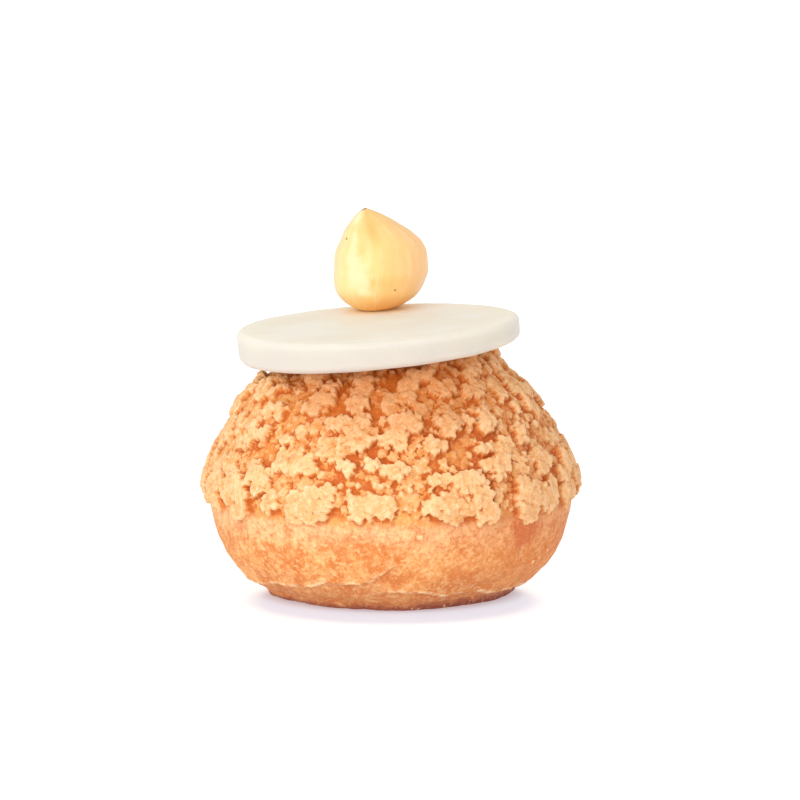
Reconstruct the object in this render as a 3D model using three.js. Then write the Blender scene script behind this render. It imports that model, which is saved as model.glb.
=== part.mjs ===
// A choux bun baked under a craquelin crust, topped with a disc of icing and a blanched hazelnut.
// Millimetres, +Z up. The origin is the middle of the bun's flat base, and -Y is the front.

import * as THREE from "three";

// Driving dimensions of the bun
const BASE_RADIUS = 17.4;
const BELLY_RADIUS = 25.8;
const SKIN_HEIGHT = 33.8;
const CRUST_THICKNESS = 1.6;
const CRUST_RIM_HEIGHT = 15.8;
const CAP_RADIUS = { inner: 14.5, outer: 18.5 };
const TOP_SHIFT_X = -0.65;

// Driving dimensions of the icing disc, which leans down to the left and to the front and thins to the right
const DISC_DIAMETER = 40;
const DISC_THICKNESS = 4;
const DISC_EDGE_ROUND = { lower: 1.4, upper: 0.65 };
const DISC_OFFSET_X = -1.5;
const DISC_UNDERSIDE_HEIGHT = 34.2;
const DISC_ROLL = THREE.MathUtils.degToRad(-5.4);
const DISC_PITCH = THREE.MathUtils.degToRad(1.15);
const DISC_TAPER = THREE.MathUtils.degToRad(2);

// Driving dimensions of the hazelnut, which stands upright behind the middle of the disc, bent to the left
const NUT_LENGTH = 15.2;
const NUT_DIAMETER = 13.6;
const NUT_TIP_SHIFT = -2.15;
const NUT_FOOT_SHIFT = -0.9;
const NUT_LEAN = THREE.MathUtils.degToRad(3.2);
const NUT_SEAT_X = 0.45;
const NUT_SEAT_Y = 14.4;
const NUT_SEAT_DEPTH = 0.35;

// Clearance between a piece and what it rests on
const GAP = 0.3;

// Facets
const BUN_SEGMENTS = 144;
const BUN_RINGS = { belly: 8, crust: 28, cap: 4 };
const DISC_SEGMENTS = 60;
const DISC_CORNER_STEPS = 4;
const NUT_SEGMENTS = 30;
const NUT_RINGS = 20;

// The bare skin's outline from the edge of the base to the top, as shares of BELLY_RADIUS and SKIN_HEIGHT
const SKIN_OUTLINE = [
  [BASE_RADIUS / BELLY_RADIUS, 0],
  [0.71, 0.027],
  [0.81, 0.08],
  [0.92, 0.18],
  [0.975, 0.29],
  [1, 0.41],
  [0.975, 0.53],
  [0.885, 0.67],
  [0.78, 0.81],
  [0.64, 0.9],
  [0.52, 0.965],
  [0.36, 0.99],
  [0, 1],
];

// The hazelnut's outline from its foot to its tip, as shares of its half-width and its length
const NUT_OUTLINE = [
  [0, 0],
  [0.37, 0.026],
  [0.68, 0.1],
  [0.88, 0.19],
  [0.98, 0.32],
  [1, 0.42],
  [0.95, 0.597],
  [0.73, 0.758],
  [0.51, 0.848],
  [0.25, 0.94],
  [0, 1],
];

// Rows of crumb clumps, from the rim of the crust to the top
const CLUMPS = {
  rimSpacing: 4.8,
  topSpacing: 3.8,
  rowShare: 0.84,
  smallest: 0.26,
  largest: 0.5,
  rimGain: 1.25,
  sideJitter: 0.9,
  rowJitter: 0.8,
  missingShare: 0.08,
  thinnest: 0.55,
  edgeSoftness: 0.12,
};

const { smoothstep, lerp } = THREE.MathUtils;

// A repeatable number from 0 to 1 for a clump's row, its place in the row and what it is drawn for.
function chance(row, place, salt) {
  const mixed = Math.sin(row * 12.9898 + place * 78.233 + salt * 37.719) * 43758.5453;
  return mixed - Math.floor(mixed);
}

// The skin's outline as a smooth curve of (radius, height).
function skinCurve() {
  const points = SKIN_OUTLINE.map(([r, z]) => new THREE.Vector2(r * BELLY_RADIUS, z * SKIN_HEIGHT));
  const curve = new THREE.SplineCurve(points);
  curve.arcLengthDivisions = 800;
  return curve;
}

// How far along the curve, from 0 to 1, it first reaches a height.
function shareAtHeight(curve, height) {
  const steps = 2000;
  let step = 0;
  while (curve.getPointAt(step / steps).y < height) step += 1;
  return step / steps;
}

// A place on the bare skin, its outward normal and its uphill direction, for an angle from the front
// and a share of the curve.
function onSkin(curve, angle, share) {
  const { x: radius, y: height } = curve.getPointAt(share);
  const { x: outward, y: rise } = curve.getTangentAt(share);
  const [east, north] = [Math.sin(angle), -Math.cos(angle)];
  return {
    place: new THREE.Vector3(radius * east, radius * north, height),
    normal: new THREE.Vector3(rise * east, rise * north, -outward).normalize(),
    uphill: new THREE.Vector3(outward * east, outward * north, rise).normalize(),
  };
}

// The clumps of crumb that the crust broke into as the bun rose: staggered rows, with each clump moved
// and sized by chance.
function crumbClumps(curve, rimShare) {
  const length = curve.getLength();
  const clumps = [];
  let share = rimShare;
  for (let row = 0; share < 1; row += 1) {
    const spacing = lerp(CLUMPS.rimSpacing, CLUMPS.topSpacing, (share - rimShare) / (1 - rimShare));
    const pitch = (spacing * CLUMPS.rowShare) / length;
    const count = Math.max(1, Math.round((2 * Math.PI * curve.getPointAt(share).x) / spacing));
    const gain = row > 0 ? 1 : CLUMPS.rimGain;
    for (let place = 0; place < count; place += 1) {
      if (row > 0 && chance(row, place, 1) < CLUMPS.missingShare) continue;
      const sideways = (chance(row, place, 2) - 0.5) * CLUMPS.sideJitter + (row % 2) / 2;
      const upwards = row > 0 ? (chance(row, place, 3) - 0.5) * CLUMPS.rowJitter * pitch : 0;
      clumps.push({
        ...onSkin(curve, (2 * Math.PI * (place + sideways)) / count, Math.min(share + upwards, 1)),
        radius: gain * spacing * lerp(CLUMPS.smallest, CLUMPS.largest, chance(row, place, 4)),
        height: CRUST_THICKNESS * lerp(CLUMPS.thinnest, 1, chance(row, place, 5)),
        phases: [6, 7, 8].map((salt) => 2 * Math.PI * chance(row, place, salt)),
      });
    }
    share += pitch;
  }
  return clumps;
}

// A clump's ragged outline: its radius in the direction of a bearing on the skin.
function clumpReach({ radius, phases: [two, three, five] }, bearing) {
  const lobes = 0.18 * Math.sin(2 * bearing + two) + 0.12 * Math.sin(3 * bearing + three);
  return radius * (1 + lobes + 0.08 * Math.sin(5 * bearing + five));
}

// How high the crust stands over the skin at a place.
function crustRelief(clumps, place) {
  let relief = 0;
  for (const clump of clumps) {
    const away = place.clone().sub(clump.place);
    const side = new THREE.Vector3().crossVectors(clump.uphill, clump.normal);
    const reach = clumpReach(clump, Math.atan2(away.dot(clump.uphill), away.dot(side)));
    const inside = 1 - smoothstep(away.length() / reach, 1 - CLUMPS.edgeSoftness, 1 + CLUMPS.edgeSoftness);
    relief = Math.max(relief, clump.height * inside);
  }
  return relief;
}

// The bun isn't quite round: its radius swells and shrinks a little round it, most at the base.
function outOfRound(angle, height) {
  const atBase = 1 - smoothstep(height, 0, BASE_RADIUS / 2);
  const wide = 0.006 * Math.sin(2 * angle + 0.8) + 0.005 * Math.sin(3 * angle + 2.1);
  return 1 + wide + atBase * (0.014 * Math.sin(5 * angle + 1.3) + 0.01 * Math.sin(9 * angle));
}

// The height of the disc's underside over a place.
function undersideHeight(x, y) {
  const slopeX = -Math.tan(DISC_ROLL);
  return DISC_UNDERSIDE_HEIGHT + (x - DISC_OFFSET_X) * slopeX + y * Math.tan(DISC_PITCH);
}

// Ring places along the skin, close together where the crust shows.
function bunRings(rimShare) {
  const capShare = 0.83;
  const footOfCrust = rimShare - 0.05;
  const between = (from, to, count) =>
    Array.from({ length: count }, (_, ring) => lerp(from, to, ring / count));
  return [
    ...between(0, footOfCrust, BUN_RINGS.belly),
    ...between(footOfCrust, capShare, BUN_RINGS.crust),
    ...between(capShare, 1, BUN_RINGS.cap),
    1,
  ];
}

// The bun: a turned skin with the craquelin's crags raised on it, pressed flat where the disc lies.
function bunGeometry() {
  const curve = skinCurve();
  const rimShare = shareAtHeight(curve, CRUST_RIM_HEIGHT);
  const clumps = crumbClumps(curve, rimShare);
  const rings = bunRings(rimShare);
  const outline = [new THREE.Vector2(0, 0), ...rings.map((share) => curve.getPointAt(share))];
  const geometry = new THREE.LatheGeometry(outline, BUN_SEGMENTS);
  const position = geometry.getAttribute("position");
  for (let vertex = 0; vertex < position.count; vertex += 1) {
    const ring = (vertex % outline.length) - 1;
    if (ring < 0) {
      position.setXYZ(vertex, 0, 0, 0);
      continue;
    }
    const segment = Math.floor(vertex / outline.length) % BUN_SEGMENTS;
    const angle = (2 * Math.PI * segment) / BUN_SEGMENTS;
    const { place, normal } = onSkin(curve, angle, rings[ring]);
    if (rings[ring] === 1) normal.set(0, 0, 1);
    place.addScaledVector(normal, ring > 0 ? crustRelief(clumps, place) : 0);
    const overRim = place.z > CRUST_RIM_HEIGHT ? 1 : 0;
    const onCap = overRim * (1 - smoothstep(outline[ring + 1].x, CAP_RADIUS.inner, CAP_RADIUS.outer));
    const lean = -Math.tan(DISC_ROLL) * place.x * onCap;
    const round = outOfRound(angle, place.z);
    const x = place.x * round + TOP_SHIFT_X * smoothstep(place.z, CRUST_RIM_HEIGHT, SKIN_HEIGHT);
    const y = place.y * round;
    position.setXYZ(vertex, x, y, Math.min(place.z + lean, undersideHeight(x, y) - GAP));
  }
  return geometry;
}

// A hand-cut round of icing with softly rounded edges, lying on the plane z = 0.
function discGeometry() {
  const radius = DISC_DIAMETER / 2;
  const { lower, upper } = DISC_EDGE_ROUND;
  const outline = [new THREE.Vector2(0, 0)];
  for (const [round, height, start] of [
    [lower, lower, -Math.PI / 2],
    [upper, DISC_THICKNESS - upper, 0],
  ]) {
    for (let step = 0; step <= DISC_CORNER_STEPS; step += 1) {
      const turn = start + ((Math.PI / 2) * step) / DISC_CORNER_STEPS;
      const reach = radius - round + round * Math.cos(turn);
      outline.push(new THREE.Vector2(reach, height + round * Math.sin(turn)));
    }
  }
  outline.push(new THREE.Vector2(0, DISC_THICKNESS));
  const geometry = new THREE.LatheGeometry(outline, DISC_SEGMENTS).rotateX(Math.PI / 2);
  const position = geometry.getAttribute("position");
  for (let vertex = 0; vertex < position.count; vertex += 1) {
    const segment = Math.floor(vertex / outline.length) % DISC_SEGMENTS;
    const angle = (2 * Math.PI * segment) / DISC_SEGMENTS;
    const radiusHere = outline[vertex % outline.length].x;
    const handCut = 1 + 0.007 * Math.sin(3 * angle + 2.2) + 0.005 * Math.sin(5 * angle - 1.6);
    const x = radiusHere * handCut * Math.sin(angle);
    const thinning = 1 - (x * Math.tan(DISC_TAPER)) / DISC_THICKNESS;
    position.setXYZ(vertex, x, -radiusHere * handCut * Math.cos(angle), position.getZ(vertex) * thinning);
  }
  return geometry;
}

// How far the hazelnut's middle lies to the side at a share of its length: its tip and its foot are bent.
function nutBend(share) {
  const tip = Math.max(0, (share - 0.68) / 0.32) ** 1.2;
  const foot = Math.max(0, (0.4 - share) / 0.4);
  return NUT_TIP_SHIFT * tip + NUT_FOOT_SHIFT * foot;
}

// The hazelnut: faintly ridged lengthways and bent, with a small flat seat on the plane z = 0.
function nutGeometry() {
  const points = NUT_OUTLINE.map(([r, z]) => new THREE.Vector2((r * NUT_DIAMETER) / 2, z * NUT_LENGTH));
  const outline = new THREE.SplineCurve(points).getPoints(NUT_RINGS);
  const geometry = new THREE.LatheGeometry(outline, NUT_SEGMENTS).rotateX(Math.PI / 2);
  const position = geometry.getAttribute("position");
  for (let vertex = 0; vertex < position.count; vertex += 1) {
    const segment = Math.floor(vertex / outline.length) % NUT_SEGMENTS;
    const angle = (2 * Math.PI * segment) / NUT_SEGMENTS;
    const { x: radiusHere, y: height } = outline[vertex % outline.length];
    const ridged = 1 + 0.02 * Math.cos(3 * angle + 0.5) + 0.012 * Math.cos(7 * angle + 1.1);
    position.setX(vertex, radiusHere * ridged * Math.sin(angle) + nutBend(height / NUT_LENGTH));
    position.setY(vertex, -radiusHere * ridged * Math.cos(angle));
  }
  geometry.rotateY(NUT_LEAN);
  geometry.computeBoundingBox();
  geometry.translate(0, 0, -geometry.boundingBox.min.z - NUT_SEAT_DEPTH);
  for (let vertex = 0; vertex < position.count; vertex += 1) {
    position.setZ(vertex, Math.max(0, position.getZ(vertex)));
  }
  return geometry;
}

// A named mesh with its finish.
function piece(name, geometry, colour, roughness) {
  geometry.computeVertexNormals();
  const material = new THREE.MeshStandardMaterial({ color: colour, roughness, metalness: 0 });
  const mesh = new THREE.Mesh(geometry, material);
  mesh.name = name;
  return mesh;
}

const bun = piece("bun", bunGeometry(), "#eeb478", 0.75);
const disc = piece("icing_disc", discGeometry(), "#f3ebdc", 0.5);
const nut = piece("hazelnut", nutGeometry(), "#f6d594", 0.45);

nut.position.set(NUT_SEAT_X, NUT_SEAT_Y, DISC_THICKNESS - NUT_SEAT_X * Math.tan(DISC_TAPER) + GAP);
nut.rotation.y = DISC_TAPER;

const topping = new THREE.Group();
topping.position.set(DISC_OFFSET_X, 0, DISC_UNDERSIDE_HEIGHT);
topping.rotation.set(DISC_PITCH, DISC_ROLL, 0);
topping.add(disc, nut);

const chouxBun = new THREE.Group();
chouxBun.add(bun, topping);

export default chouxBun;
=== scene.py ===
"""A choux bun under a craquelin crust, with a disc of icing and a hazelnut on top.

Sizes of the bun and what lies on it are in millimetres until a mesh is written, which is in metres, as are
the floor, the lights and the camera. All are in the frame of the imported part: the origin is the middle of
the bun's flat base, +Z is up and -Y is the front.
"""
import math

import bpy
import numpy as np
from mathutils import Matrix, Vector, kdtree
from mathutils import noise as space_noise


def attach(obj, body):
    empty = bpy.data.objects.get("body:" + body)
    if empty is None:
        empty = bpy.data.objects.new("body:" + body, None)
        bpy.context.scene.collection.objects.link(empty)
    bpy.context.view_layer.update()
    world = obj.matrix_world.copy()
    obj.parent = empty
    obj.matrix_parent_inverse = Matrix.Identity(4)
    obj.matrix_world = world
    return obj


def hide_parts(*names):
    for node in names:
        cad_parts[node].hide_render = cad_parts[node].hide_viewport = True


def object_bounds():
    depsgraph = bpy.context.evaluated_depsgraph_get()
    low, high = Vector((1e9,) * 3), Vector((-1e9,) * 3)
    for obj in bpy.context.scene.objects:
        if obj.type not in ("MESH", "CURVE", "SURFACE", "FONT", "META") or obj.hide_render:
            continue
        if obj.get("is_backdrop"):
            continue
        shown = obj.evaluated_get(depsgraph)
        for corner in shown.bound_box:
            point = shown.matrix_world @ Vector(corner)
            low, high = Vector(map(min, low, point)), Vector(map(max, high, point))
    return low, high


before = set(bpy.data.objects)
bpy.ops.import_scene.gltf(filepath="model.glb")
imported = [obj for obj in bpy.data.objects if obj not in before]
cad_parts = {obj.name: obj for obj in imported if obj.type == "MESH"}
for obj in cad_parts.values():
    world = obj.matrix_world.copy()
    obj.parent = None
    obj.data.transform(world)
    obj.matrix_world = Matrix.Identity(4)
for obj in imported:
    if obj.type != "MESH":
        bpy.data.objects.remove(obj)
CAD_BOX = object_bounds()

MM = 0.001

# The bun
BASE_RADIUS = 17.4
BELLY_RADIUS = 25.8
SKIN_HEIGHT = 33.8
CRUST_THICKNESS = 1.6
CRUST_RIM_HEIGHT = 15.8
CAP_INNER, CAP_OUTER = 14.5, 18.5
TOP_SHIFT_X = -0.65
LEDGE_STEP = 0.5
LEDGE_LIP = 0.18
BUN_SIDES = 220

# The icing disc, which leans down to the left and to the front and thins to the right
DISC_RADIUS = 20
DISC_THICKNESS = 4
DISC_LOWER_ROUND, DISC_UPPER_ROUND = 1.1, 0.9
DISC_OFFSET_X = -1.5
DISC_UNDERSIDE_HEIGHT = 34.2
DISC_ROLL = math.radians(-5.4)
DISC_PITCH = math.radians(1.15)
DISC_TAPER = math.radians(2)
DISC_MIDDLE = (-1.6, 0, 38)
DISC_SIDES = 160

# The hazelnut, which stands upright behind the middle of the disc, bent to the left
NUT_LENGTH = 15.2
NUT_RADIUS = 6.8
NUT_TIP_SHIFT = -2.15
NUT_FOOT_SHIFT = -0.9
NUT_LEAN = math.radians(3.2)
NUT_SEAT_X = 0.45
NUT_SEAT_Y = 14.4
NUT_SEAT_DEPTH = 0.35
# Where the icing is painted lighter round the nut, against the nut's shadow
NUT_FOOT_AT = (-1.4, 14.3, 38.5)
NUT_SIDES = 120

# Dark specks on the nut, as a spot and a size
NUT_SPECKS = (((-3.9, 13.85, 53.1), 0.75), ((-6.3, 11.4, 49), 0.55), ((0.8, 8.3, 41.8), 0.55))

# The bare skin's outline from the edge of the base to the top, as shares of BELLY_RADIUS and SKIN_HEIGHT
SKIN_OUTLINE = [
    (BASE_RADIUS / BELLY_RADIUS, 0),
    (0.71, 0.027),
    (0.81, 0.08),
    (0.92, 0.18),
    (0.975, 0.29),
    (1, 0.41),
    (0.975, 0.53),
    (0.885, 0.67),
    (0.78, 0.81),
    (0.64, 0.9),
    (0.52, 0.965),
    (0.36, 0.99),
    (0, 1),
]

# The hazelnut's outline from its foot to its tip, as shares of NUT_RADIUS and NUT_LENGTH
NUT_OUTLINE = [
    (0, 0),
    (0.37, 0.026),
    (0.68, 0.1),
    (0.88, 0.19),
    (0.98, 0.32),
    (1, 0.42),
    (0.95, 0.597),
    (0.73, 0.758),
    (0.51, 0.848),
    (0.25, 0.94),
    (0, 1),
]

# Rows of crumb clumps from the rim of the crust to the top, and the crumbs that they are made of
CLUMP_RIM_SPACING = 4.8
CLUMP_TOP_SPACING = 3.8
CLUMP_ROW_SHARE = 0.84
CLUMP_SMALLEST = 0.26
CLUMP_LARGEST = 0.5
CLUMP_RIM_GAIN = 1.25
CLUMP_SIDE_JITTER = 0.9
CLUMP_ROW_JITTER = 0.8
CLUMP_MISSING_SHARE = 0.08
CLUMP_THINNEST = 0.55
CRUMBLETS = 220
CRUMB_SIZE = 0.6
CRUMB_WARP = 0.3
CRUMB_INSET = 0.3
CRUMB_DROP = 3.6
CRUMB_TOP_SHARE = 0.95
LARGE_CRUMB_SHARE = 0.12
LARGE_CRUMB_GAIN = 1.7

# Crumbs stand taller where the crust reaches up under the disc, between these shares of the skin's curve
TALL_CRUMB_GAIN = 0.45
TALL_CRUMBS_START, TALL_CRUMBS_FULL = 0.63, 0.76

# Crumbs that fell on the skin below the crust, as angles from the front and heights
STRAY_CRUMBS = ((1.1, 7.5), (1.03, 6.5), (0.97, 6.1), (0.71, 1.0), (0.68, 1.2), (0.95, 2.2), (0.16, 11.6))
STRAY_SMALLEST, STRAY_LARGEST = 0.35, 0.65

# A darker smear on the skin, and the shadow painted on the floor at the foot of the bun
SMEAR_AT = (19.2, -17, 11.2)
SHADOW_AT = (0.5, -10, 0)

# Unevenness of the surfaces, as the size of the lumps and how far they rise and sink
SKIN_LUMPS = (3, 0.35)
SKIN_GRAIN = (1.1, 0.12)
CRUMB_GRAIN = (0.35, 0.11)
DISC_LUMPS = (5, 0.12)
NUT_LUMPS = (3.5, 0.2)

# The bun's mesh: the size of its voxels, the triangles that it keeps, and over how many neighbours in turn
# its points are averaged to find narrow crevices and wide hollows
SKIN_VOXEL = 0.19
SKIN_TRIANGLES = 40000
CRUST_TRIANGLES = 154000
CREVICE_STEPS, HOLLOW_STEPS = 8, 60

CRUMB_SEED = 20
rng = np.random.default_rng(CRUMB_SEED)
space_noise.seed_set(CRUMB_SEED)


def smoothstep(value, low, high):
    share = np.clip((value - low) / (high - low), 0, 1)
    return share * share * (3 - 2 * share)


def lerp(low, high, share):
    return low + (high - low) * share


def chance(row, place, salt):
    """A repeatable number from 0 to 1 for a clump's row, its place in the row and what it is drawn for."""
    mixed = math.sin(row * 12.9898 + place * 78.233 + salt * 37.719) * 43758.5453
    return mixed - math.floor(mixed)


# The skin's outline as a smooth curve


def smooth_through(points, steps):
    """Points on a smooth curve through the given ones, with a number of steps between each two."""
    points = np.array(points, float)
    last = len(points) - 1
    share = np.linspace(0, 1, steps, endpoint=False)[:, None]
    pieces = []
    for index in range(last):
        before, start = points[max(index - 1, 0)], points[index]
        end, after = points[index + 1], points[min(index + 2, last)]
        leave, arrive = (end - before) / 2, (after - start) / 2
        cubic = (2 * start - 2 * end + leave + arrive) * share**3
        square = (3 * end - 3 * start - 2 * leave - arrive) * share**2
        pieces.append(cubic + square + leave * share + start)
    return np.vstack([*pieces, points[-1:]])


CURVE = smooth_through(np.array(SKIN_OUTLINE) * (BELLY_RADIUS, SKIN_HEIGHT), 200)
CURVE_STEPS = np.linalg.norm(np.diff(CURVE, axis=0), axis=1)
CURVE_LENGTH = CURVE_STEPS.sum()
CURVE_SHARE = np.concatenate([[0], np.cumsum(CURVE_STEPS)]) / CURVE_LENGTH
CURVE_SLOPE = np.gradient(CURVE, axis=0)
CURVE_SLOPE /= np.linalg.norm(CURVE_SLOPE, axis=1, keepdims=True)
RIM_SHARE = CURVE_SHARE[np.argmax(CURVE[:, 1] >= CRUST_RIM_HEIGHT)]
FOOT_SHARE = RIM_SHARE - CRUMB_DROP / CURVE_LENGTH


def along_curve(share, values):
    return np.interp(share, CURVE_SHARE, values)


def on_skin(angle, share):
    """Places on the bare skin, their outward normals and uphill directions, at angles from the front."""
    radius, height = along_curve(share, CURVE[:, 0]), along_curve(share, CURVE[:, 1])
    outward, rise = along_curve(share, CURVE_SLOPE[:, 0]), along_curve(share, CURVE_SLOPE[:, 1])
    east, north = np.sin(angle), -np.cos(angle)
    place = np.stack([radius * east, radius * north, height], -1)
    normal = np.stack([rise * east, rise * north, -outward], -1)
    uphill = np.stack([outward * east, outward * north, rise], -1)
    return place, normal, uphill


def nearest_share(radius, height):
    """The share of the curve nearest to points by their radius and height."""
    sampled = CURVE[::4]
    flat = np.stack([radius, height], -1)
    parts = np.array_split(flat, len(flat) // 4000 + 1)
    nearest = [((part[:, None] - sampled) ** 2).sum(-1).argmin(1) for part in parts]
    return CURVE_SHARE[::4][np.concatenate(nearest)]


# The bun's unevenness, as moves of its points and back again


def out_of_round(angle, height):
    """How much the bun's radius swells and shrinks round it, most at the base."""
    at_base = 1 - smoothstep(height, 0, BASE_RADIUS / 2)
    wide = 0.006 * np.sin(2 * angle + 0.8) + 0.005 * np.sin(3 * angle + 2.1)
    return 1 + wide + at_base * (0.014 * np.sin(5 * angle + 1.3) + 0.01 * np.sin(9 * angle))


def top_shift(height):
    return TOP_SHIFT_X * smoothstep(height, CRUST_RIM_HEIGHT, SKIN_HEIGHT)


def cap_lean(x, y, height):
    """The top of the bun leans with the disc that lies on it."""
    over_rim = height > CRUST_RIM_HEIGHT
    return -math.tan(DISC_ROLL) * x * over_rim * (1 - smoothstep(np.hypot(x, y), CAP_INNER, CAP_OUTER))


def underside_height(x, y):
    slope = -math.tan(DISC_ROLL)
    return DISC_UNDERSIDE_HEIGHT + (x - DISC_OFFSET_X) * slope + y * math.tan(DISC_PITCH)


def ledges(angle):
    """The lower edges of two flaps of skin round the foot: their heights, and where they stand out."""
    ripple = 0.3 * np.sin(5 * angle + 2) + 0.2 * np.sin(13 * angle) + 0.12 * np.sin(29 * angle + 1)
    left = 1.1 + 3.1 * np.cos(angle + 0.2) ** 2 + 3.2 * smoothstep(angle, -0.2, 0.08) + ripple
    right = 0.9 + 2 * np.cos(angle - 0.1) ** 2 + ripple
    left_share = smoothstep(angle, -3.1, -2.8) * (1 - smoothstep(angle, -0.14, 0.14))
    right_share = smoothstep(angle, -0.2, 0.1) * (1 - smoothstep(angle, 2.8, 3.1))
    return (left, left_share), (right, right_share)


def settle(points):
    """Moves points of a regular bun to where the real one has them."""
    x, y, z = points.T
    angle = np.arctan2(x, -y)
    outset = 0
    for height, share in ledges(angle):
        lip = LEDGE_LIP * np.exp(-(((z - height - 0.3) / 0.3) ** 2))
        outset = outset + share * (lip - LEDGE_STEP * (1 - smoothstep(z, height - 0.2, height + 0.1)))
    round_here = out_of_round(angle, z) + outset * smoothstep(z, 0, 1) / BELLY_RADIUS
    lean = cap_lean(x, y, z)
    x = x * round_here + top_shift(z)
    y = y * round_here
    return np.stack([x, y, np.minimum(z + lean, underside_height(x, y) - 0.05)], -1)


def over_skin(points):
    """How far settled points stand over the bare skin, in millimetres, and the skin's normals there."""
    x, y, z = points.T
    x = x - top_shift(z)
    z = z - cap_lean(x, y, z)
    angle = np.arctan2(x, -y)
    radius = np.hypot(x, y) / out_of_round(angle, z)
    share = nearest_share(radius, z)
    place, normal, _ = on_skin(angle, share)
    ideal = np.stack([radius * np.sin(angle), -radius * np.cos(angle), z], -1)
    return ((ideal - place) * normal).sum(1), normal


# Modelling tools


def deselect():
    bpy.ops.object.select_all(action="DESELECT")


def apply_modifier(piece, kind, **settings):
    modifier = piece.modifiers.new(kind.title(), kind)
    for name, value in settings.items():
        setattr(modifier, name, value)
    bpy.context.view_layer.objects.active = piece
    bpy.ops.object.modifier_apply(modifier=modifier.name)


def shade_smooth(piece):
    deselect()
    piece.select_set(True)
    bpy.context.view_layer.objects.active = piece
    bpy.ops.object.shade_smooth()


def roughen(piece, scale, strength, vertex_group=""):
    """Raises and sinks a surface by a cloudy pattern, with lumps of about the scale."""
    clouds = bpy.data.textures.new(f"{piece.name}_clouds", "CLOUDS")
    clouds.noise_scale = scale * MM
    clouds.noise_depth = 2
    apply_modifier(
        piece,
        "DISPLACE",
        texture=clouds,
        texture_coords="LOCAL",
        strength=strength * MM,
        mid_level=0.5,
        vertex_group=vertex_group,
    )


def group_points(piece, name, chosen):
    piece.vertex_groups.new(name=name).add(np.flatnonzero(chosen).tolist(), 1, "REPLACE")


def count_triangles(piece, chosen):
    """How many triangles lie between chosen points only, and how many there are."""
    piece.data.calc_loop_triangles()
    corners = np.empty(3 * len(piece.data.loop_triangles), np.int32)
    piece.data.loop_triangles.foreach_get("vertices", corners)
    inside = chosen[corners.reshape(-1, 3)].all(1)
    return int(inside.sum()), len(inside)


def thin_out(piece, group, fewer):
    """Merges triangles in a group of points until there are a number of them fewer."""
    _, in_all = count_triangles(piece, np.zeros(len(piece.data.vertices), bool))
    apply_modifier(
        piece,
        "DECIMATE",
        ratio=1 - max(fewer, 0) / in_all,
        vertex_group=group,
        vertex_group_factor=1000,
        use_collapse_triangulate=True,
    )


def read_points(piece):
    flat = np.empty(3 * len(piece.data.vertices))
    piece.data.vertices.foreach_get("co", flat)
    return flat.reshape(-1, 3) / MM


def read_normals(piece):
    flat = np.empty(3 * len(piece.data.vertices), np.float32)
    piece.data.vertices.foreach_get("normal", flat)
    return flat.reshape(-1, 3)


def write_points(piece, points):
    piece.data.vertices.foreach_set("co", (points * MM).ravel())
    piece.data.update()


def mark_points(piece, marks):
    """Gives each point values by name, for its colours."""
    for name, values in marks.items():
        piece.data.attributes.new(name, "FLOAT", "POINT").data.foreach_set("value", values)


def turned(name, outline, steps):
    """A closed solid turned from an outline of (radius, height) that starts and ends on the axis."""
    deselect()
    bpy.ops.mesh.primitive_plane_add(size=MM)
    piece = bpy.context.object
    piece.name = name
    bpy.ops.object.mode_set(mode="EDIT")
    bpy.ops.mesh.merge(type="CENTER")
    bpy.ops.transform.translate(value=(outline[0][0] * MM, 0, outline[0][1] * MM))
    for (radius, height), (next_radius, next_height) in zip(outline, outline[1:]):
        step = ((next_radius - radius) * MM, 0, (next_height - height) * MM)
        bpy.ops.mesh.extrude_region_move(TRANSFORM_OT_translate={"value": step})
    bpy.ops.mesh.select_all(action="SELECT")
    bpy.ops.mesh.spin(steps=steps, angle=2 * math.pi, center=(0, 0, 0), axis=(0, 0, 1))
    bpy.ops.mesh.select_all(action="SELECT")
    bpy.ops.mesh.remove_doubles(threshold=0.001 * MM)
    bpy.ops.mesh.normals_make_consistent(inside=False)
    bpy.ops.object.mode_set(mode="OBJECT")
    return piece


# The bun


def crumb_clumps():
    """The clumps that the crust broke into as the bun rose: staggered rows, moved and sized by chance."""
    clumps = []
    share = RIM_SHARE
    row = 0
    while share < 1:
        spacing = lerp(CLUMP_RIM_SPACING, CLUMP_TOP_SPACING, (share - RIM_SHARE) / (1 - RIM_SHARE))
        pitch = spacing * CLUMP_ROW_SHARE / CURVE_LENGTH
        count = max(1, round(2 * math.pi * along_curve(share, CURVE[:, 0]) / spacing))
        gain = CLUMP_RIM_GAIN if row == 0 else 1
        for place in range(count):
            if row > 0 and chance(row, place, 1) < CLUMP_MISSING_SHARE:
                continue
            sideways = (chance(row, place, 2) - 0.5) * CLUMP_SIDE_JITTER + (row % 2) / 2
            upwards = (chance(row, place, 3) - 0.5) * CLUMP_ROW_JITTER * pitch if row > 0 else 0
            clumps.append({
                "angle": 2 * math.pi * (place + sideways) / count,
                "share": min(share + upwards, 1),
                "radius": gain * spacing * lerp(CLUMP_SMALLEST, CLUMP_LARGEST, chance(row, place, 4)),
                "height": CRUST_THICKNESS * lerp(CLUMP_THINNEST, 1, chance(row, place, 5)),
                "phases": [2 * math.pi * chance(row, place, salt) for salt in (6, 7, 8)],
            })
        share += pitch
        row += 1
    return clumps


def clump_reach(clump, bearing):
    """A clump's ragged outline: its radius in the direction of a bearing on the skin."""
    two, three, five = clump["phases"]
    lobes = 0.18 * np.sin(2 * bearing + two) + 0.12 * np.sin(3 * bearing + three)
    return clump["radius"] * (1 + lobes + 0.08 * np.sin(5 * bearing + five))


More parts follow.
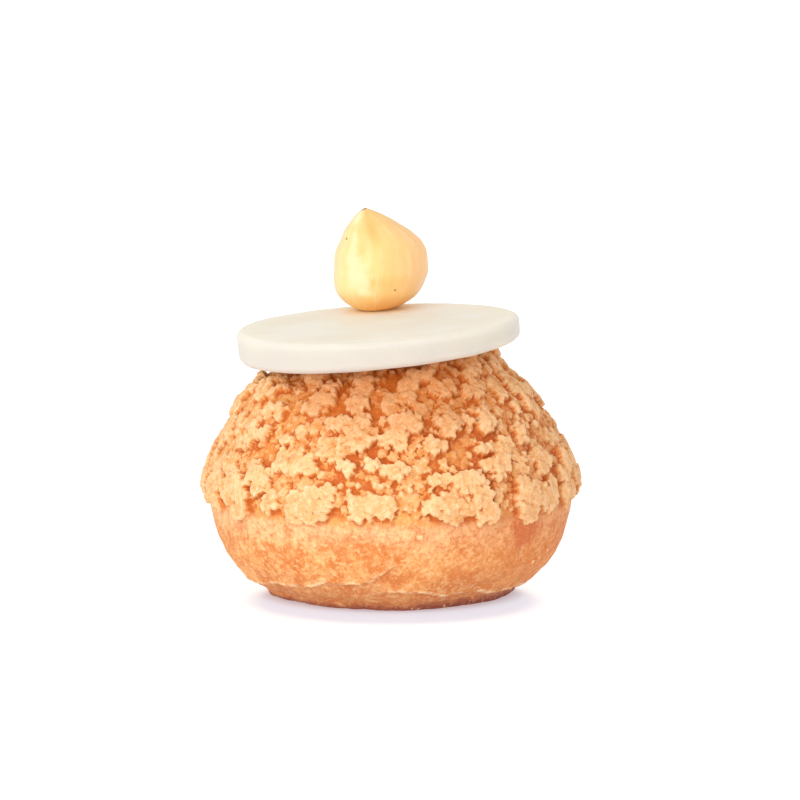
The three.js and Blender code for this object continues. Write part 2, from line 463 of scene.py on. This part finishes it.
def crumblets():
    """Small low clumps between the others."""
    for _ in range(CRUMBLETS):
        yield {
            "angle": rng.uniform(0, 2 * math.pi),
            "share": rng.uniform(RIM_SHARE, CRUMB_TOP_SHARE),
            "radius": rng.uniform(0.5, 1.2),
            "height": CRUST_THICKNESS * rng.uniform(0.35, 0.75),
            "phases": rng.uniform(0, 2 * math.pi, 3),
        }


def crumb_field():
    """The crumbs of the crust, in jittered rows: blocks of all sizes, standing highest in the clumps."""
    pitch = CRUMB_SIZE / CURVE_LENGTH
    rows = []
    for share in np.arange(FOOT_SHARE, CRUMB_TOP_SHARE, pitch):
        count = round(2 * math.pi * along_curve(share, CURVE[:, 0]) / CRUMB_SIZE)
        across, along = rng.uniform(-0.5, 0.5, (2, count))
        rows.append(np.stack([2 * math.pi * (np.arange(count) + across) / count, share + along * pitch]))
    angle, share = np.hstack(rows)
    count = len(angle)
    place, normal, uphill = on_skin(angle, share)
    turn = rng.uniform(0, 2 * math.pi, (count, 1))
    side = np.cross(uphill, normal) * np.cos(turn) + uphill * np.sin(turn)
    strewn = smoothstep(np.array([space_noise.noise(Vector(spot) * 0.22) for spot in place]), -0.3, 0.3)
    strewn = rng.uniform(0, 1, count) < lerp(0.2, 0.7, strewn)
    height = np.where(strewn, rng.uniform(0.15, 0.65, count), rng.uniform(0, 0.15, count))
    height *= smoothstep(share, FOOT_SHARE, RIM_SHARE) ** 2
    uneven = rng.uniform(0.82, 1.08, count) * lerp(0.55, 1, smoothstep(share, FOOT_SHARE, RIM_SHARE))
    for clump in (*crumb_clumps(), *crumblets()):
        centre, normal_here, uphill_here = on_skin(clump["angle"], clump["share"])
        away = place - centre
        bearing = np.arctan2(away @ uphill_here, away @ np.cross(uphill_here, normal_here))
        depth = clump_reach(clump, bearing) - np.linalg.norm(away, axis=1)
        raised = clump["height"] * uneven * (0.8 + 0.2 * smoothstep(depth, 0, 1))
        height = np.where(depth > CRUMB_INSET, np.maximum(height, raised), height)
    height *= 1 + TALL_CRUMB_GAIN * smoothstep(share, TALL_CRUMBS_START, TALL_CRUMBS_FULL)
    reach = CRUMB_SIZE * rng.uniform(0.6, 1.2, count)
    large = rng.uniform(0, 1, count) < LARGE_CRUMB_SHARE
    return {
        "place": place,
        "side": side,
        "front": np.cross(normal, side),
        "reach": reach * np.where(large, LARGE_CRUMB_GAIN, 1),
        "height": height,
    }


def crust_relief(points):
    """How high the crust stands over points on the skin: as the highest of the crumbs round each."""
    crumbs = crumb_field()
    tree = kdtree.KDTree(len(crumbs["place"]))
    for index, spot in enumerate(crumbs["place"]):
        tree.insert(spot, index)
    tree.balance()
    moved = [point + space_noise.noise_vector(point * 1.8) * CRUMB_WARP for point in map(Vector, points)]
    nearest = np.array([[index for _, index, _ in tree.find_n(point, 10)] for point in moved])
    away = np.array(moved)[:, None] - crumbs["place"][nearest]
    aside, ahead = (np.abs((away * crumbs[name][nearest]).sum(-1)) for name in ("side", "front"))
    share = (aside**4 + ahead**4) ** (1 / 4) / crumbs["reach"][nearest]
    height = crumbs["height"][nearest]
    blocks = height * (1 - smoothstep(share, 0.72, 1))
    return np.maximum(blocks.max(1), 0.92 * height[:, :3].min(1))


def raise_crust(bun):
    """Raises the crumbs on the bare skin, and says which points are in the crust and which on a crumb."""
    points = read_points(bun)
    share = nearest_share(np.hypot(points[:, 0], points[:, 1]), points[:, 2])
    in_crust = (share > FOOT_SHARE) & (share < CRUMB_TOP_SHARE)
    angle = np.arctan2(points[:, 0], -points[:, 1])[in_crust]
    place, normal, _ = on_skin(angle, share[in_crust])
    relief = np.zeros(len(points))
    relief[in_crust] = crust_relief(place)
    points[in_crust] += normal * relief[in_crust, None]
    for index, (angle, height) in enumerate(STRAY_CRUMBS):
        radius = np.interp(height, CURVE[:, 1], CURVE[:, 0])
        away = points - (radius * math.sin(angle), -radius * math.cos(angle), height)
        size = lerp(STRAY_SMALLEST, STRAY_LARGEST, chance(1, index, 9))
        stray = size * (1 - smoothstep((away**4).sum(1) ** (1 / 4), 0.6 * size, size))
        points += stray[:, None] * (math.sin(angle), -math.cos(angle), 0)
    write_points(bun, points)
    return in_crust, relief > 0.2


def ridges(piece, steps):
    """How far points stand over the mean of those round them: over 0 on ridges, below it in crevices."""
    mesh = piece.data
    ends = np.empty(2 * len(mesh.edges), np.int32)
    mesh.edges.foreach_get("vertices", ends)
    one, other = ends.reshape(-1, 2).T
    start, end = np.concatenate([one, other]), np.concatenate([other, one])
    neighbours = np.bincount(start)[:, None]
    points = mean = read_points(piece)
    for _ in range(steps):
        mean = np.stack([np.bincount(start, column[end]) for column in mean.T], -1) / neighbours
    return ((points - mean) * read_normals(piece)).sum(1)


def make_bun():
    skin_steps = np.concatenate([np.linspace(0, 0.12, 50)[:-1], np.linspace(0.12, 1, 110)])
    outline = [(0, 0), (BASE_RADIUS / 2, 0)]
    outline += [(along_curve(s, CURVE[:, 0]), along_curve(s, CURVE[:, 1])) for s in skin_steps]
    bun = turned("choux_bun", outline, BUN_SIDES)
    apply_modifier(bun, "REMESH", mode="VOXEL", voxel_size=SKIN_VOXEL * MM)
    in_crust, on_crumb = raise_crust(bun)
    group_points(bun, "skin", ~in_crust)
    group_points(bun, "crust", in_crust)
    group_points(bun, "crumbs", on_crumb)
    write_points(bun, settle(read_points(bun)))
    roughen(bun, *SKIN_LUMPS)
    roughen(bun, *SKIN_GRAIN)
    roughen(bun, *CRUMB_GRAIN, "crumbs")
    on_skin_count, in_all = count_triangles(bun, ~in_crust)
    thin_out(bun, "skin", on_skin_count - SKIN_TRIANGLES)
    thin_out(bun, "crust", in_all - on_skin_count - CRUST_TRIANGLES)
    points = read_points(bun)
    points[:, 2] = np.maximum(points[:, 2], 0)
    write_points(bun, points)
    crumb, skin_normals = over_skin(points)
    (left, left_share), (right, right_share) = ledges(np.arctan2(points[:, 0], -points[:, 1]))
    mark_points(bun, {
        "crumb": crumb,
        "slope": 1 - (read_normals(bun) * skin_normals).sum(1),
        "ridge": ridges(bun, CREVICE_STEPS),
        "hollow": -ridges(bun, HOLLOW_STEPS),
        "over_left_ledge": points[:, 2] - left,
        "over_right_ledge": points[:, 2] - right,
        "left_ledge": left_share,
        "right_ledge": right_share,
    })
    shade_smooth(bun)
    return bun


# The disc and the nut


def on_disc(points):
    """Moves points from the disc's own level frame to where the disc lies."""
    turn = Matrix.Rotation(DISC_PITCH, 3, "X") @ Matrix.Rotation(DISC_ROLL, 3, "Y")
    return points @ np.array(turn).T + (DISC_OFFSET_X, 0, DISC_UNDERSIDE_HEIGHT)


def make_disc():
    corner = np.linspace(0, math.pi / 2, 9)
    lower, upper = (
        [(radius, 0) for radius in np.linspace(0, DISC_RADIUS - edge, 25)[:-1]]
        + [(DISC_RADIUS - edge * (1 - math.sin(t)), edge * (1 - math.cos(t))) for t in corner]
        for edge in (DISC_LOWER_ROUND, DISC_UPPER_ROUND)
    )
    wall = np.linspace(DISC_LOWER_ROUND, DISC_THICKNESS - DISC_UPPER_ROUND, 10)[1:-1]
    rings = lower + [(DISC_RADIUS, height) for height in wall]
    rings += [(radius, DISC_THICKNESS - height) for radius, height in reversed(upper)]
    disc = turned("icing_round", rings, DISC_SIDES)
    points = read_points(disc)
    angle = np.arctan2(points[:, 0], -points[:, 1])
    hand_cut = 1 + 0.007 * np.sin(3 * angle + 2.2) + 0.005 * np.sin(5 * angle - 1.6)
    points[:, :2] *= hand_cut[:, None]
    points[:, 2] *= 1 - points[:, 0] * math.tan(DISC_TAPER) / DISC_THICKNESS
    write_points(disc, on_disc(points))
    roughen(disc, *DISC_LUMPS)
    shade_smooth(disc)
    return disc


def nut_bend(share):
    """How far the nut's middle lies to the side at a share of its length: its tip and its foot are bent."""
    tip = np.maximum(0, (share - 0.68) / 0.32) ** 1.2
    foot = np.maximum(0, (0.4 - share) / 0.4)
    return NUT_TIP_SHIFT * tip + NUT_FOOT_SHIFT * foot


def make_nut():
    outline = smooth_through(np.array(NUT_OUTLINE) * (NUT_RADIUS, NUT_LENGTH), 8)
    nut = turned("hazelnut_kernel", outline, NUT_SIDES)
    points = read_points(nut)
    angle = np.arctan2(points[:, 0], -points[:, 1])
    share = points[:, 2] / NUT_LENGTH
    # Painted highlight: a pale band down the nut's left front; the pale flake of skin at the tip is added
    # below
    highlight_and_flake = np.exp(-(((angle + 0.54 + 0.68 * (share - 0.5)) / lerp(0.42, 0.08, share)) ** 2))
    highlight_and_flake *= lerp(1, 0.6, smoothstep(share, 0.5, 0.75))
    # The pale flake of skin at the tip is the nut's own colour
    flake = np.exp(-(((angle + 0.9) / 0.5) ** 2)) * smoothstep(share, 0.8, 0.92)
    mark_points(nut, {
        "highlight_and_flake": highlight_and_flake * smoothstep(share, 0.1, 0.3) * (1 - smoothstep(share, 0.75, 0.95)) + flake,
        "crease": np.exp(-(((angle + 0.12) / 0.2) ** 2)) * smoothstep(share, 0.6, 0.8),
    })
    round_nut = [NUT_RADIUS * np.sin(angle), NUT_RADIUS * np.cos(angle)]
    meridian = np.stack([*round_nut, points[:, 2] * 0.12], -1) * MM
    streaks = nut.data.attributes.new("meridian", "FLOAT_VECTOR", "POINT")
    streaks.data.foreach_set("vector", meridian.ravel())
    ridged = 1 + 0.02 * np.cos(3 * angle + 0.5) + 0.012 * np.cos(7 * angle + 1.1)
    crease = 0.05 * np.exp(-(((angle + 0.45) / 0.22) ** 2)) * smoothstep(share, 0.35, 0.85)
    points[:, :2] *= (ridged + crease)[:, None]
    points[:, 0] += nut_bend(share)
    points = points @ np.array(Matrix.Rotation(NUT_LEAN, 3, "Y")).T
    points[:, 2] -= points[:, 2].min() + NUT_SEAT_DEPTH
    points[:, 2] = np.maximum(points[:, 2], 0)
    points = points @ np.array(Matrix.Rotation(DISC_TAPER, 3, "Y")).T
    seat = (NUT_SEAT_X, NUT_SEAT_Y, DISC_THICKNESS - NUT_SEAT_X * math.tan(DISC_TAPER))
    write_points(nut, on_disc(points + seat))
    roughen(nut, *NUT_LUMPS)
    shade_smooth(nut)
    return nut


# Finishes


class Wire:
    """A shader socket that can be used in sums, and that other nodes can be joined to."""

    def __init__(self, socket):
        self.socket = socket
        self.tree = socket.id_data

    def node(self, kind, settings=None, values=None, output=0):
        """Adds a node: its settings are set first, then its sockets get values or wires."""
        node = self.tree.nodes.new(f"ShaderNode{kind}")
        for name, value in (settings or {}).items():
            setattr(node, name, value)
        for name, value in (values or {}).items():
            if isinstance(value, Wire):
                self.tree.links.new(value.socket, node.inputs[name])
            else:
                node.inputs[name].default_value = value
        return Wire(node.outputs[output])

    def maths(self, operation, *others):
        return self.node("Math", {"operation": operation}, dict(enumerate((self, *others))))

    def __add__(self, other):
        return self.maths("ADD", other)

    def __sub__(self, other):
        return self.maths("SUBTRACT", other)

    def __rsub__(self, other):
        return self * -1 + other

    def __mul__(self, other):
        return self.maths("MULTIPLY", other)

    __radd__ = __add__
    __rmul__ = __mul__


def srgb(red, green, blue):
    """A colour as the eye reads it, from 0 to 255, as the light it stands for."""
    shares = np.array([red, green, blue]) / 255
    light = np.where(shares <= 0.04045, shares / 12.92, ((shares + 0.055) / 1.055) ** 2.4)
    return (*light, 1)


def new_finish(name, constants):
    """A material, its shader with the constants set, and a wire of the piece's own coordinates."""
    material = bpy.data.materials.new(name)
    material.use_nodes = True
    shader = material.node_tree.nodes["Principled BSDF"]
    for socket, value in constants.items():
        shader.inputs[socket].default_value = value
    coordinates = material.node_tree.nodes.new("ShaderNodeTexCoord")
    return material, shader, Wire(coordinates.outputs["Object"])


def feed(shader, wires):
    for socket, wire in wires.items():
        wire.tree.links.new(wire.socket, shader.inputs[socket])


def mark(place, name, output="Fac"):
    """The values that a piece's points were given by name."""
    return place.node("Attribute", {"attribute_name": name}, None, output)


def along(place, axis):
    """Places along an axis, in millimetres."""
    return place.node("SeparateXYZ", None, {"Vector": place}, axis) * (1 / MM)


def distance(place, spot):
    """How far places are from a spot, in millimetres."""
    values = {0: place, 1: np.array(spot) * MM}
    return place.node("VectorMath", {"operation": "DISTANCE"}, values, "Value") * (1 / MM)


def noise(place, size, detail=3, roughness=0.55):
    """Cloudy values from 0 to 1 with lumps of about the size, in millimetres."""
    values = {"Vector": place, "Scale": 1 / (size * MM), "Detail": detail, "Roughness": roughness}
    return place.node("TexNoise", None, values)


def between(wire, low, high):
    """0 below low, 1 above high and smooth between."""
    values = {"Value": wire, "From Min": low, "From Max": high}
    return wire.node("MapRange", {"interpolation_type": "SMOOTHSTEP"}, values)


def mix(factor, first, second):
    """The first colour where the factor is 0, and the second where it is 1."""
    return factor.node("Mix", {"data_type": "RGBA"}, {0: factor, 6: first, 7: second}, 2)


def bump(height, strength, depth):
    return height.node("Bump", None, {"Strength": strength, "Distance": depth * MM, "Height": height})


def bun_finish():
    material, shader, place = new_finish("baked_crust", {
        "Subsurface Weight": 0.1,
        "Subsurface Radius": (1.0, 0.5, 0.25),
        "Subsurface Scale": 0.7 * MM,
        "Specular IOR Level": 0.35,
    })
    crumb, slope, ridge, hollow = (mark(place, name) for name in ("crumb", "slope", "ridge", "hollow"))
    across, height = along(place, "X"), along(place, "Z")
    cloud = noise(place, 4.5)
    mottle = noise(place, 1.5, 4, 0.65)
    speck = noise(place, 0.6, 3, 0.6)
    fine = noise(place, 0.33, 2, 0.5)

    # The crust: pale crumbs over golden gaps. Painted shade makes crevices, hollows and the crumbs' sides
    # orange and darkens the crust to the right and under the disc; painted highlights make ridges and
    # raised parts paler
    top = mix(between(mottle, 0.35, 0.65), srgb(227, 155, 84), srgb(246, 194, 136))
    top = mix(between(speck, 0.46, 0.34) * 0.4, top, srgb(234, 156, 86))
    top = mix(between(speck, 0.54, 0.68) * 0.8, top, srgb(250, 211, 168))
    gap = mix(between(mottle, 0.35, 0.65), srgb(221, 136, 58), srgb(236, 166, 90))
    gap = mix(between(speck, 0.54, 0.7) * 0.8, gap, srgb(246, 196, 136))
    on_top = between(crumb + speck * 0.5, 0.25, 1.1)
    crust = mix(on_top, gap, top)
    # Painted shade: the crumbs' steep sides are coloured the warm orange that they show in shade
    crust = mix(between(slope + speck * 0.3, 0.3, 0.7) * 0.8, crust, srgb(216, 126, 40))
    # Painted highlight: raised parts of the crust are made paler
    crust = mix(between(hollow, -0.08, -0.4) * 0.28, crust, srgb(250, 204, 150))
    # Painted shade: wide hollows are darkened to orange-brown
    crust = mix(between(hollow, 0.02, 0.4) * 0.42, crust, srgb(210, 108, 28))
    # Painted shade: narrow crevices beside the crumbs are darkened to deep orange
    crust = mix(between(ridge, -0.04, -0.2) * 0.85, crust, srgb(197, 92, 20))
    # Painted highlight: ridges are made paler
    crust = mix(between(ridge + speck * 0.15, 0.12, 0.32) * 0.25, crust, srgb(255, 228, 182))
    # Painted shade: the gaps are darkened towards the right, less so on the crumbs
    crust = mix(between(across + cloud * 6, 6, 24) * (0.45 - on_top * 0.35), crust, srgb(192, 98, 52))
    # Painted shade: the crust under the disc's overhang is darkened, less so on the crumbs
    from_side = across.maths("ABSOLUTE") + cloud * 6
    under_disc = between(height + cloud * 5, 24, 33) * between(from_side, 21, 11)
    crust = mix(under_disc * (0.9 - on_top * 0.38), crust, srgb(194, 97, 10))
    # Painted highlights: small bright glints on the crust
    crust = mix(between(fine, 0.7, 0.78) * 0.4, crust, srgb(255, 244, 222))

    # The skin: mottled, paler just below the crust, partly as painted light, and browner to the right
    skin = mix(between(cloud, 0.4, 0.6), srgb(221, 133, 64), srgb(236, 160, 90))
    # Partly the skin's own paler colour, partly painted light against the shade under the crust's rim
    skin = mix(between(height + cloud * 6, 11, 16) * 0.5, skin, srgb(251, 206, 158))
    skin = mix(between(mottle, 0.48, 0.7) * 0.6, skin, srgb(255, 202, 138))
    skin = mix(between(mottle, 0.48, 0.35) * 0.65, skin, srgb(213, 118, 52))
    skin = mix(between(speck, 0.53, 0.66) * 0.5, skin, srgb(255, 212, 154))
    skin = mix(between(speck, 0.47, 0.36) * 0.5, skin, srgb(206, 110, 50))
    skin = mix(between(across + cloud * 8, 4, 24) * 0.42, skin, srgb(212, 118, 58))
    smear = distance(place, SMEAR_AT) + mottle * 5
    skin = mix(between(smear, 6.5, 4) * 0.8, skin, srgb(206, 100, 44))

    # Both, with the stray crumbs, the flaky ledges and the dark foot
    rim = CRUST_RIM_HEIGHT - 2.4
    crusted = between(height + mottle * 2, rim, rim + 1.6).maths("MAXIMUM", between(crumb, 0.35, 0.5))
    colour = mix(crusted, skin, crust)
    stray = between(crumb + speck * 0.3, 0.4, 0.6) * between(height, rim - 0.8, rim - 1.4)
    colour = mix(stray * 0.7, colour, srgb(246, 198, 142))
    for name in ("left_ledge", "right_ledge"):
        ledge, over = mark(place, name), mark(place, f"over_{name}") + speck * 0.3
        colour = mix(ledge * between(over, 0.2, -0.1) * 0.25, colour, srgb(188, 100, 56))
        flaky = ledge * between(over, 0, 0.2) * between(over, 0.7, 0.4) * between(mottle, 0.42, 0.56)
        colour = mix(flaky * 0.8, colour, srgb(254, 216, 164))
    foot = between(height + mottle * 2 + cloud * 1.2 - across * 0.04, 3.1, 1.7)
    colour = mix(foot * 0.8, colour, srgb(164, 86, 64))
    colour = mix(between(height + mottle * 0.8, 1.3, 0.7) * 0.6, colour, srgb(126, 60, 48))
    colour = mix(foot * between(speck, 0.6, 0.7), colour, srgb(236, 184, 132))
    colour = mix(between(fine, 0.46, 0.3) * 0.28, colour, srgb(192, 100, 46))
    colour = mix(between(fine, 0.56, 0.72) * 0.22, colour, srgb(255, 222, 170))

    grain = noise(place, 0.45, 4, 0.7)
    feed(shader, {
        "Base Color": colour,
        "Roughness": 0.62 + mottle * 0.2,
        "Normal": bump(grain + mottle * 0.6 + fine * 0.4, 0.5, 0.3),
    })
    return material


def icing_finish():
    material, shader, place = new_finish("ivory_icing", {
        "Subsurface Weight": 0.85,
        "Subsurface Radius": (1.0, 0.85, 0.65),
        "Subsurface Scale": 4 * MM,
        "Specular IOR Level": 0.25,
    })
    cloud = noise(place, 9)
    speck = noise(place, 0.5, 3, 0.6)
    colour = mix(between(cloud, 0.35, 0.65), srgb(229, 220, 200), srgb(233, 226, 211))
    # Painted shade: the disc's edge is given a darker colour than its top
    at_side = between(distance(place, DISC_MIDDLE) + cloud * 2, 19.5, 21.5)
    colour = mix(at_side, colour, srgb(207, 201, 191))
    colour = mix(between(speck, 0.62, 0.8) * 0.25, colour, srgb(232, 225, 212))
    # Painted light: the icing is made paler and warmer round the nut's foot, against its shadow and as its
    # warm reflected light
    colour = mix(between(distance(place, NUT_FOOT_AT), 6.5, 3.5), colour, srgb(255, 230, 190))
    feed(shader, {
        "Base Color": colour,
        "Roughness": 0.45 + cloud * 0.2,
        "Normal": bump(speck, 0.15, 0.1),
    })
    return material


def nut_finish():
    material, shader, place = new_finish("blanched_nut", {
        "Subsurface Weight": 0.15,
        "Subsurface Radius": (1.0, 0.7, 0.35),
        "Subsurface Scale": 1.8 * MM,
        "Specular IOR Level": 0.4,
    })
    cloud, blotch = noise(place, 4), noise(place, 2)
    grain = noise(place, 1, 4, 0.6)
    highlight_and_flake, crease = mark(place, "highlight_and_flake"), mark(place, "crease")
    streak = noise(mark(place, "meridian", "Vector"), 1.1, 4, 0.6)
    side, height = along(place, "X"), along(place, "Z")
    colour = mix(between(cloud, 0.35, 0.65), srgb(242, 193, 118), srgb(247, 205, 132))
    colour = mix(between(side + cloud * 4, 0, 6), colour, srgb(252, 200, 136))
    # Painted light: the nut's left side, which faces the lamps, is made paler
    colour = mix(between(side + cloud * 4, -1, -5) * 0.6, colour, srgb(247, 221, 160))
    at_foot = between(height - cloud * 3, 40.5, 38) * (0.35 + between(side, -4, 2) * 0.35)
    colour = mix(at_foot, colour, srgb(242, 174, 92))
    colour = mix(between(streak, 0.5, 0.72) * 0.28, colour, srgb(255, 232, 184))
    colour = mix(between(streak, 0.48, 0.3) * 0.2, colour, srgb(246, 184, 106))
    colour = mix(crease * between(cloud, 0.3, 0.6) * 0.6, colour, srgb(240, 168, 88))
    colour = mix(between(grain, 0.58, 0.7) * between(side, -2, 3) * 0.4, colour, srgb(246, 172, 108))
    # The painted highlight band, with the nut's own pale flake at the tip
    colour = mix(between(highlight_and_flake + blotch * 1.2 - 0.6, 0.15, 1.05) * 0.42, colour, srgb(254, 248, 216))
    for spot, size in NUT_SPECKS:
        away = distance(place, spot) + grain * 0.4
        colour = mix(between(away, size, size - 0.15) * 0.7, colour, srgb(126, 88, 54))
    feed(shader, {
        "Base Color": colour,
        "Roughness": 0.3 + grain * 0.2,
        "Normal": bump(grain + streak, 0.15, 0.15),
    })
    return material


def floor_finish():
    material, shader, place = new_finish("pale_floor", {"Roughness": 0.5, "Emission Strength": 1})
    narrowed = place.node("VectorMath", {"operation": "MULTIPLY"}, {0: place, 1: (0.88, 1, 1)}, "Vector")
    away = distance(narrowed, SHADOW_AT)
    from_axis = distance(place, (0, 0, 0))
    # Painted shadow: the floor glows evenly white, except round and in front of the bun's foot, where its
    # glow is dimmed
    shadow = mix(between(from_axis, 16.5, 21), (0.42, 0.34, 0.35, 1), (0.56, 0.6, 0.69, 1))
    feed(shader, {
        "Base Color": mix(noise(place, 60), srgb(148, 149, 151), srgb(152, 153, 155)),
        "Emission Color": mix(between(away, 16, 19.5), shadow, (0.8, 0.8, 0.8, 1)),
    })
    return material


# The pieces, each in place of its solid

lit_pieces = bpy.data.collections.new("lit_pieces")
for make, finish, node, slot in (
    (make_bun, bun_finish, "bun", "crust"),
    (make_disc, icing_finish, "icing_disc", "icing"),
    (make_nut, nut_finish, "hazelnut", "nut"),
):
    piece = make()
    piece.data.materials.append(finish())
    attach(piece, "root")
    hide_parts(node)
    lit_pieces.objects.link(piece)

# The floor, the light and the camera

deselect()
bpy.ops.mesh.primitive_plane_add(size=6)
floor = bpy.context.object
floor.name = "floor"
floor.data.materials.append(floor_finish())
floor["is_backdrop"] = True

world = bpy.data.worlds.new("studio")
bpy.context.scene.world = world
world.use_nodes = True
world.node_tree.nodes["Background"].inputs["Color"].default_value = (1, 1, 1, 1)
world.node_tree.nodes["Background"].inputs["Strength"].default_value = 0.88


def area_light(name, place, target, size, power, lit):
    """A round light over a target, for the objects of a collection."""
    data = bpy.data.lights.new(name, "AREA")
    data.shape = "DISK"
    data.size = size
    data.energy = power
    lamp = bpy.data.objects.new(name, data)
    bpy.context.collection.objects.link(lamp)
    lamp.location = place
    direction = Vector(target) - lamp.location
    lamp.rotation_euler = direction.to_track_quat("-Z", "Y").to_euler()
    lamp.light_linking.receiver_collection = lit


MIDDLE_OF_BUN = (0, 0, 0.025)
area_light("key", (-0.42, -0.68, 0.34), MIDDLE_OF_BUN, 0.7, 3.35, lit_pieces)
area_light("fill", (-0.1, -0.85, 0.06), MIDDLE_OF_BUN, 0.5, 1.6, lit_pieces)

camera_data = bpy.data.cameras.new("camera")
camera_data.lens = 192
camera_data.sensor_width = 36
camera_data.clip_end = 20
camera = bpy.data.objects.new("camera", camera_data)
bpy.context.collection.objects.link(camera)
camera.location = (0, -0.6, 0.108)
camera.rotation_euler = (math.radians(90 - 7.68), 0, math.radians(-0.134))
bpy.context.scene.camera = camera
bpy.context.scene.view_settings.view_transform = "Standard"

boxes = {"cad": CAD_BOX, "visual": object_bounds()}
{name: [list(map(float, corner)) for corner in box] for name, box in boxes.items()}
